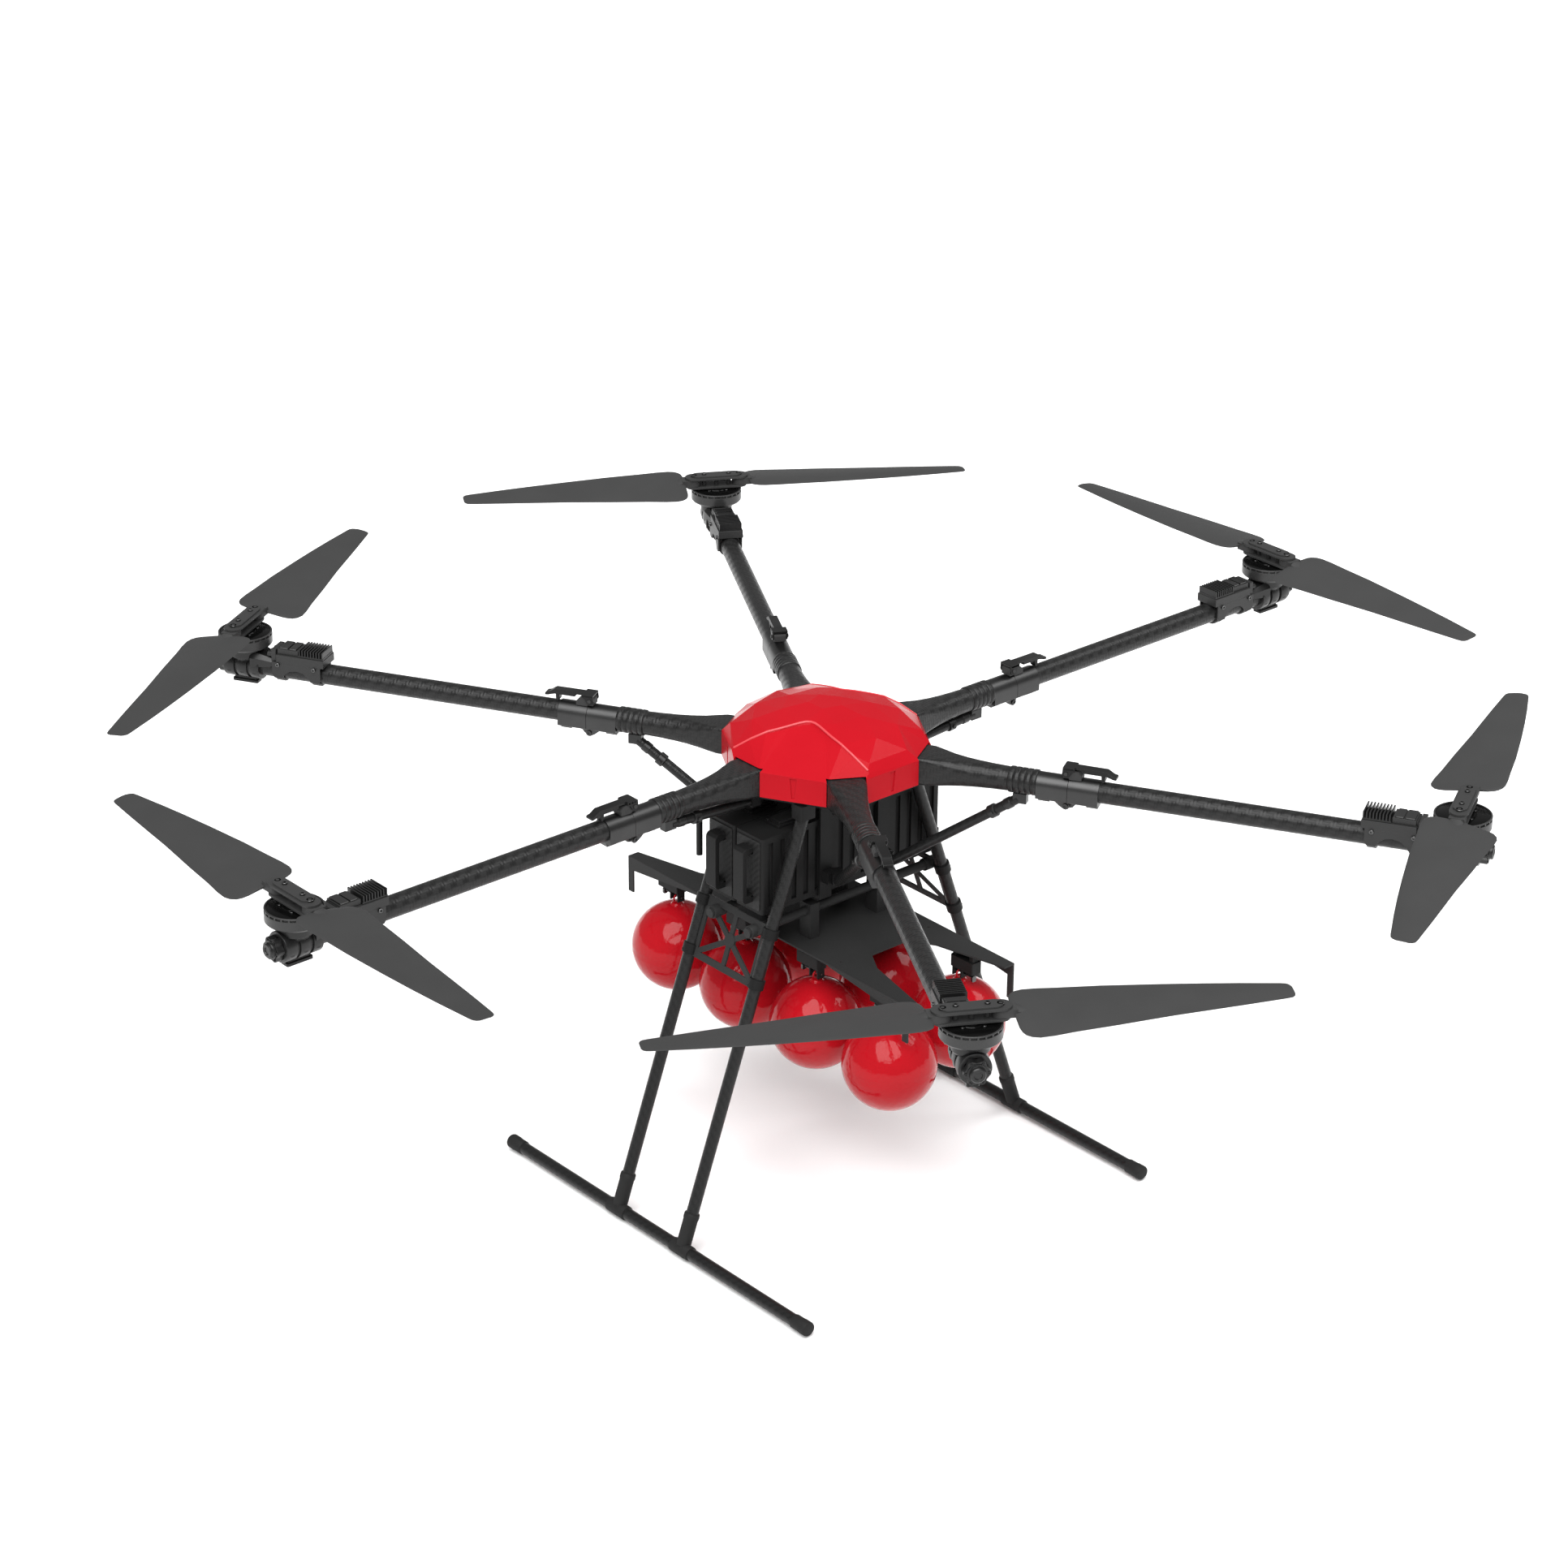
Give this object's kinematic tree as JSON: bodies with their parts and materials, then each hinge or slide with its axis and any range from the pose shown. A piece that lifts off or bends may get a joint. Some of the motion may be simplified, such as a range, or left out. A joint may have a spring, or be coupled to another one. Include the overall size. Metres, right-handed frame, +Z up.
{
  "type": "folding hexacopter drone with a fire ball rack",
  "caption": "Folding six-arm multirotor drone with a red hood, sliding battery packs, skid landing gear and a hanging rack of fire-extinguishing balls on pull-pin releases.",
  "frame": {"origin": "on the ground under the middle of the whole outline", "axes": "+Z up, +Y along the skids, batteries slide out towards -X"},
  "size_m": [2.131, 2.206, 0.8283],
  "materials": {
    "hood_red": "glossy red moulded plastic shell",
    "ball_red": "very glossy red moulded plastic",
    "blade": "satin dark grey carbon composite",
    "motor_black": "black anodised aluminium",
    "carbon": "carbon fibre tube with a coarse weave under satin resin",
    "carbon_plate": "satin carbon fibre plate",
    "anodised_black": "black anodised aluminium",
    "fold_grey": "dark grey anodised aluminium",
    "electronics": "fine-grained black plastic",
    "battery": "black ribbed plastic case",
    "frame_black": "black powder coat",
    "rack_black": "black coated aluminium sheet",
    "steel": "bare steel wire",
    "rubber": "black rubber"
  },
  "bodies": {
    "airframe": {"centre_plates": "carbon_plate", "flight_electronics": "electronics", "arm_roots": "carbon", "fold_sleeves": "fold_grey", "arm_struts": "carbon", "battery_rails": "frame_black", "landing_legs": "carbon", "landing_skids": "carbon", "skid_fittings": "rubber", "payload_rack": "rack_black", "release_servos": "electronics"},
    "hood": {"hood": "hood_red"},
    "battery_left": {"battery_left": "battery"},
    "battery_right": {"battery_right": "battery"},
    "arm_1": {"arm_1": "carbon"},
    "latch_lever_1": {"latch_lever_1": "anodised_black"},
    "rotor_1": {"rotor_1": "motor_black"},
    "blade_1a": {"blade_1a": "blade"},
    "blade_1b": {"blade_1b": "blade"},
    "arm_2": {"arm_2": "carbon"},
    "latch_lever_2": {"latch_lever_2": "anodised_black"},
    "rotor_2": {"rotor_2": "motor_black"},
    "blade_2a": {"blade_2a": "blade"},
    "blade_2b": {"blade_2b": "blade"},
    "arm_3": {"arm_3": "carbon"},
    "latch_lever_3": {"latch_lever_3": "anodised_black"},
    "rotor_3": {"rotor_3": "motor_black"},
    "blade_3a": {"blade_3a": "blade"},
    "blade_3b": {"blade_3b": "blade"},
    "arm_4": {"arm_4": "carbon"},
    "latch_lever_4": {"latch_lever_4": "anodised_black"},
    "rotor_4": {"rotor_4": "motor_black"},
    "blade_4a": {"blade_4a": "blade"},
    "blade_4b": {"blade_4b": "blade"},
    "arm_5": {"arm_5": "carbon"},
    "latch_lever_5": {"latch_lever_5": "anodised_black"},
    "rotor_5": {"rotor_5": "motor_black"},
    "blade_5a": {"blade_5a": "blade"},
    "blade_5b": {"blade_5b": "blade"},
    "arm_6": {"arm_6": "carbon"},
    "latch_lever_6": {"latch_lever_6": "anodised_black"},
    "rotor_6": {"rotor_6": "motor_black"},
    "blade_6a": {"blade_6a": "blade"},
    "blade_6b": {"blade_6b": "blade"},
    "ball_1": {"ball_1": "ball_red"},
    "release_pin_1": {"release_pin_1": "steel"},
    "ball_2": {"ball_2": "ball_red"},
    "release_pin_2": {"release_pin_2": "steel"},
    "ball_3": {"ball_3": "ball_red"},
    "release_pin_3": {"release_pin_3": "steel"},
    "ball_4": {"ball_4": "ball_red"},
    "release_pin_4": {"release_pin_4": "steel"},
    "ball_5": {"ball_5": "ball_red"},
    "release_pin_5": {"release_pin_5": "steel"},
    "ball_6": {"ball_6": "ball_red"},
    "release_pin_6": {"release_pin_6": "steel"},
    "ball_7": {"ball_7": "ball_red"},
    "release_pin_7": {"release_pin_7": "steel"},
    "ball_8": {"ball_8": "ball_red"},
    "release_pin_8": {"release_pin_8": "steel"}
  },
  "joints": [
    {"name": "hood_lift", "type": "slide", "parent": "airframe", "child": "hood", "axis": [0, 0, 1], "range_m": [0, 0.12]},
    {"name": "battery_left_slide", "type": "slide", "parent": "airframe", "child": "battery_left", "axis": [1, 0, 0], "range_m": [-0.32, 0]},
    {"name": "battery_right_slide", "type": "slide", "parent": "airframe", "child": "battery_right", "axis": [1, 0, 0], "range_m": [-0.32, 0]},
    {"name": "arm_1_fold", "type": "hinge", "parent": "airframe", "child": "arm_1", "pos_m": [0.1965, 0.34035, 0.717], "axis": [-0.866, 0.5, 0], "range_deg": [0, 90]},
    {"name": "latch_1_open", "type": "hinge", "parent": "arm_1", "child": "latch_lever_1", "pos_m": [0.196, 0.33948, 0.771], "axis": [0.866, -0.5, 0], "range_deg": [0, 95]},
    {"name": "rotor_1_spin", "type": "hinge", "parent": "arm_1", "child": "rotor_1", "pos_m": [0.5, 0.86603, 0.79], "axis": [0, 0, 1], "continuous": true},
    {"name": "blade_1a_fold", "type": "hinge", "parent": "rotor_1", "child": "blade_1a", "pos_m": [0.46536, 0.88602, 0.81], "axis": [0, 0, 1], "range_deg": [0, 75]},
    {"name": "blade_1b_fold", "type": "hinge", "parent": "rotor_1", "child": "blade_1b", "pos_m": [0.53464, 0.84603, 0.81], "axis": [0, 0, -1], "range_deg": [0, 75]},
    {"name": "arm_2_fold", "type": "hinge", "parent": "airframe", "child": "arm_2", "pos_m": [0.393, 0, 0.717], "axis": [0, 1, 0], "range_deg": [0, 90]},
    {"name": "latch_2_open", "type": "hinge", "parent": "arm_2", "child": "latch_lever_2", "pos_m": [0.392, 0, 0.771], "axis": [0, -1, 0], "range_deg": [0, 95]},
    {"name": "rotor_2_spin", "type": "hinge", "parent": "arm_2", "child": "rotor_2", "pos_m": [1, 0, 0.79], "axis": [0, 0, 1], "continuous": true},
    {"name": "blade_2a_fold", "type": "hinge", "parent": "rotor_2", "child": "blade_2a", "pos_m": [1, 0.04, 0.81], "axis": [0, 0, 1], "range_deg": [0, 75]},
    {"name": "blade_2b_fold", "type": "hinge", "parent": "rotor_2", "child": "blade_2b", "pos_m": [1, -0.04, 0.81], "axis": [0, 0, -1], "range_deg": [0, 75]},
    {"name": "arm_3_fold", "type": "hinge", "parent": "airframe", "child": "arm_3", "pos_m": [0.1965, -0.34035, 0.717], "axis": [0.866, 0.5, 0], "range_deg": [0, 90]},
    {"name": "latch_3_open", "type": "hinge", "parent": "arm_3", "child": "latch_lever_3", "pos_m": [0.196, -0.33948, 0.771], "axis": [-0.866, -0.5, 0], "range_deg": [0, 95]},
    {"name": "rotor_3_spin", "type": "hinge", "parent": "arm_3", "child": "rotor_3", "pos_m": [0.5, -0.86603, 0.79], "axis": [0, 0, 1], "continuous": true},
    {"name": "blade_3a_fold", "type": "hinge", "parent": "rotor_3", "child": "blade_3a", "pos_m": [0.53464, -0.84603, 0.81], "axis": [0, 0, 1], "range_deg": [0, 75]},
    {"name": "blade_3b_fold", "type": "hinge", "parent": "rotor_3", "child": "blade_3b", "pos_m": [0.46536, -0.88602, 0.81], "axis": [0, 0, -1], "range_deg": [0, 75]},
    {"name": "arm_4_fold", "type": "hinge", "parent": "airframe", "child": "arm_4", "pos_m": [-0.1965, -0.34035, 0.717], "axis": [0.866, -0.5, 0], "range_deg": [0, 90]},
    {"name": "latch_4_open", "type": "hinge", "parent": "arm_4", "child": "latch_lever_4", "pos_m": [-0.196, -0.33948, 0.771], "axis": [-0.866, 0.5, 0], "range_deg": [0, 95]},
    {"name": "rotor_4_spin", "type": "hinge", "parent": "arm_4", "child": "rotor_4", "pos_m": [-0.5, -0.86603, 0.79], "axis": [0, 0, 1], "continuous": true},
    {"name": "blade_4a_fold", "type": "hinge", "parent": "rotor_4", "child": "blade_4a", "pos_m": [-0.46536, -0.88602, 0.81], "axis": [0, 0, 1], "range_deg": [0, 75]},
    {"name": "blade_4b_fold", "type": "hinge", "parent": "rotor_4", "child": "blade_4b", "pos_m": [-0.53464, -0.84603, 0.81], "axis": [0, 0, -1], "range_deg": [0, 75]},
    {"name": "arm_5_fold", "type": "hinge", "parent": "airframe", "child": "arm_5", "pos_m": [-0.393, 0, 0.717], "axis": [0, -1, 0], "range_deg": [0, 90]},
    {"name": "latch_5_open", "type": "hinge", "parent": "arm_5", "child": "latch_lever_5", "pos_m": [-0.392, 0, 0.771], "axis": [0, 1, 0], "range_deg": [0, 95]},
    {"name": "rotor_5_spin", "type": "hinge", "parent": "arm_5", "child": "rotor_5", "pos_m": [-1, 0, 0.79], "axis": [0, 0, 1], "continuous": true},
    {"name": "blade_5a_fold", "type": "hinge", "parent": "rotor_5", "child": "blade_5a", "pos_m": [-1, -0.04, 0.81], "axis": [0, 0, 1], "range_deg": [0, 75]},
    {"name": "blade_5b_fold", "type": "hinge", "parent": "rotor_5", "child": "blade_5b", "pos_m": [-1, 0.04, 0.81], "axis": [0, 0, -1], "range_deg": [0, 75]},
    {"name": "arm_6_fold", "type": "hinge", "parent": "airframe", "child": "arm_6", "pos_m": [-0.1965, 0.34035, 0.717], "axis": [-0.866, -0.5, 0], "range_deg": [0, 90]},
    {"name": "latch_6_open", "type": "hinge", "parent": "arm_6", "child": "latch_lever_6", "pos_m": [-0.196, 0.33948, 0.771], "axis": [0.866, 0.5, 0], "range_deg": [0, 95]},
    {"name": "rotor_6_spin", "type": "hinge", "parent": "arm_6", "child": "rotor_6", "pos_m": [-0.5, 0.86603, 0.79], "axis": [0, 0, 1], "continuous": true},
    {"name": "blade_6a_fold", "type": "hinge", "parent": "rotor_6", "child": "blade_6a", "pos_m": [-0.53464, 0.84603, 0.81], "axis": [0, 0, 1], "range_deg": [0, 75]},
    {"name": "blade_6b_fold", "type": "hinge", "parent": "rotor_6", "child": "blade_6b", "pos_m": [-0.46536, 0.88602, 0.81], "axis": [0, 0, -1], "range_deg": [0, 75]},
    {"name": "release_pin_1_pull", "type": "slide", "parent": "airframe", "child": "release_pin_1", "axis": [0, 1, 0], "range_m": [0, 0.014]},
    {"name": "ball_1_swing", "type": "hinge", "parent": "airframe", "child": "ball_1", "pos_m": [-0.0876, 0.2616, 0.4147], "axis": [0, 1, 0], "range_deg": [-6, 6]},
    {"name": "release_pin_2_pull", "type": "slide", "parent": "airframe", "child": "release_pin_2", "axis": [0, 1, 0], "range_m": [0, 0.014]},
    {"name": "ball_2_swing", "type": "hinge", "parent": "airframe", "child": "ball_2", "pos_m": [-0.0876, 0.0889, 0.4147], "axis": [0, 1, 0], "range_deg": [-6, 6]},
    {"name": "release_pin_3_pull", "type": "slide", "parent": "airframe", "child": "release_pin_3", "axis": [0, 1, 0], "range_m": [0, 0.014]},
    {"name": "ball_3_swing", "type": "hinge", "parent": "airframe", "child": "ball_3", "pos_m": [-0.0876, -0.0838, 0.4147], "axis": [0, 1, 0], "range_deg": [-6, 6]},
    {"name": "release_pin_4_pull", "type": "slide", "parent": "airframe", "child": "release_pin_4", "axis": [0, 1, 0], "range_m": [0, 0.014]},
    {"name": "ball_4_swing", "type": "hinge", "parent": "airframe", "child": "ball_4", "pos_m": [-0.0876, -0.2565, 0.4147], "axis": [0, 1, 0], "range_deg": [-6, 6]},
    {"name": "release_pin_5_pull", "type": "slide", "parent": "airframe", "child": "release_pin_5", "axis": [0, -1, 0], "range_m": [0, 0.014]},
    {"name": "ball_5_swing", "type": "hinge", "parent": "airframe", "child": "ball_5", "pos_m": [0.0876, -0.2256, 0.4147], "axis": [0, 1, 0], "range_deg": [-6, 6]},
    {"name": "release_pin_6_pull", "type": "slide", "parent": "airframe", "child": "release_pin_6", "axis": [0, -1, 0], "range_m": [0, 0.014]},
    {"name": "ball_6_swing", "type": "hinge", "parent": "airframe", "child": "ball_6", "pos_m": [0.0876, -0.0529, 0.4147], "axis": [0, 1, 0], "range_deg": [-6, 6]},
    {"name": "release_pin_7_pull", "type": "slide", "parent": "airframe", "child": "release_pin_7", "axis": [0, -1, 0], "range_m": [0, 0.014]},
    {"name": "ball_7_swing", "type": "hinge", "parent": "airframe", "child": "ball_7", "pos_m": [0.0876, 0.1198, 0.4147], "axis": [0, 1, 0], "range_deg": [-6, 6]},
    {"name": "release_pin_8_pull", "type": "slide", "parent": "airframe", "child": "release_pin_8", "axis": [0, -1, 0], "range_m": [0, 0.014]},
    {"name": "ball_8_swing", "type": "hinge", "parent": "airframe", "child": "ball_8", "pos_m": [0.0876, 0.2925, 0.4147], "axis": [0, 1, 0], "range_deg": [-6, 6]}
  ]
}
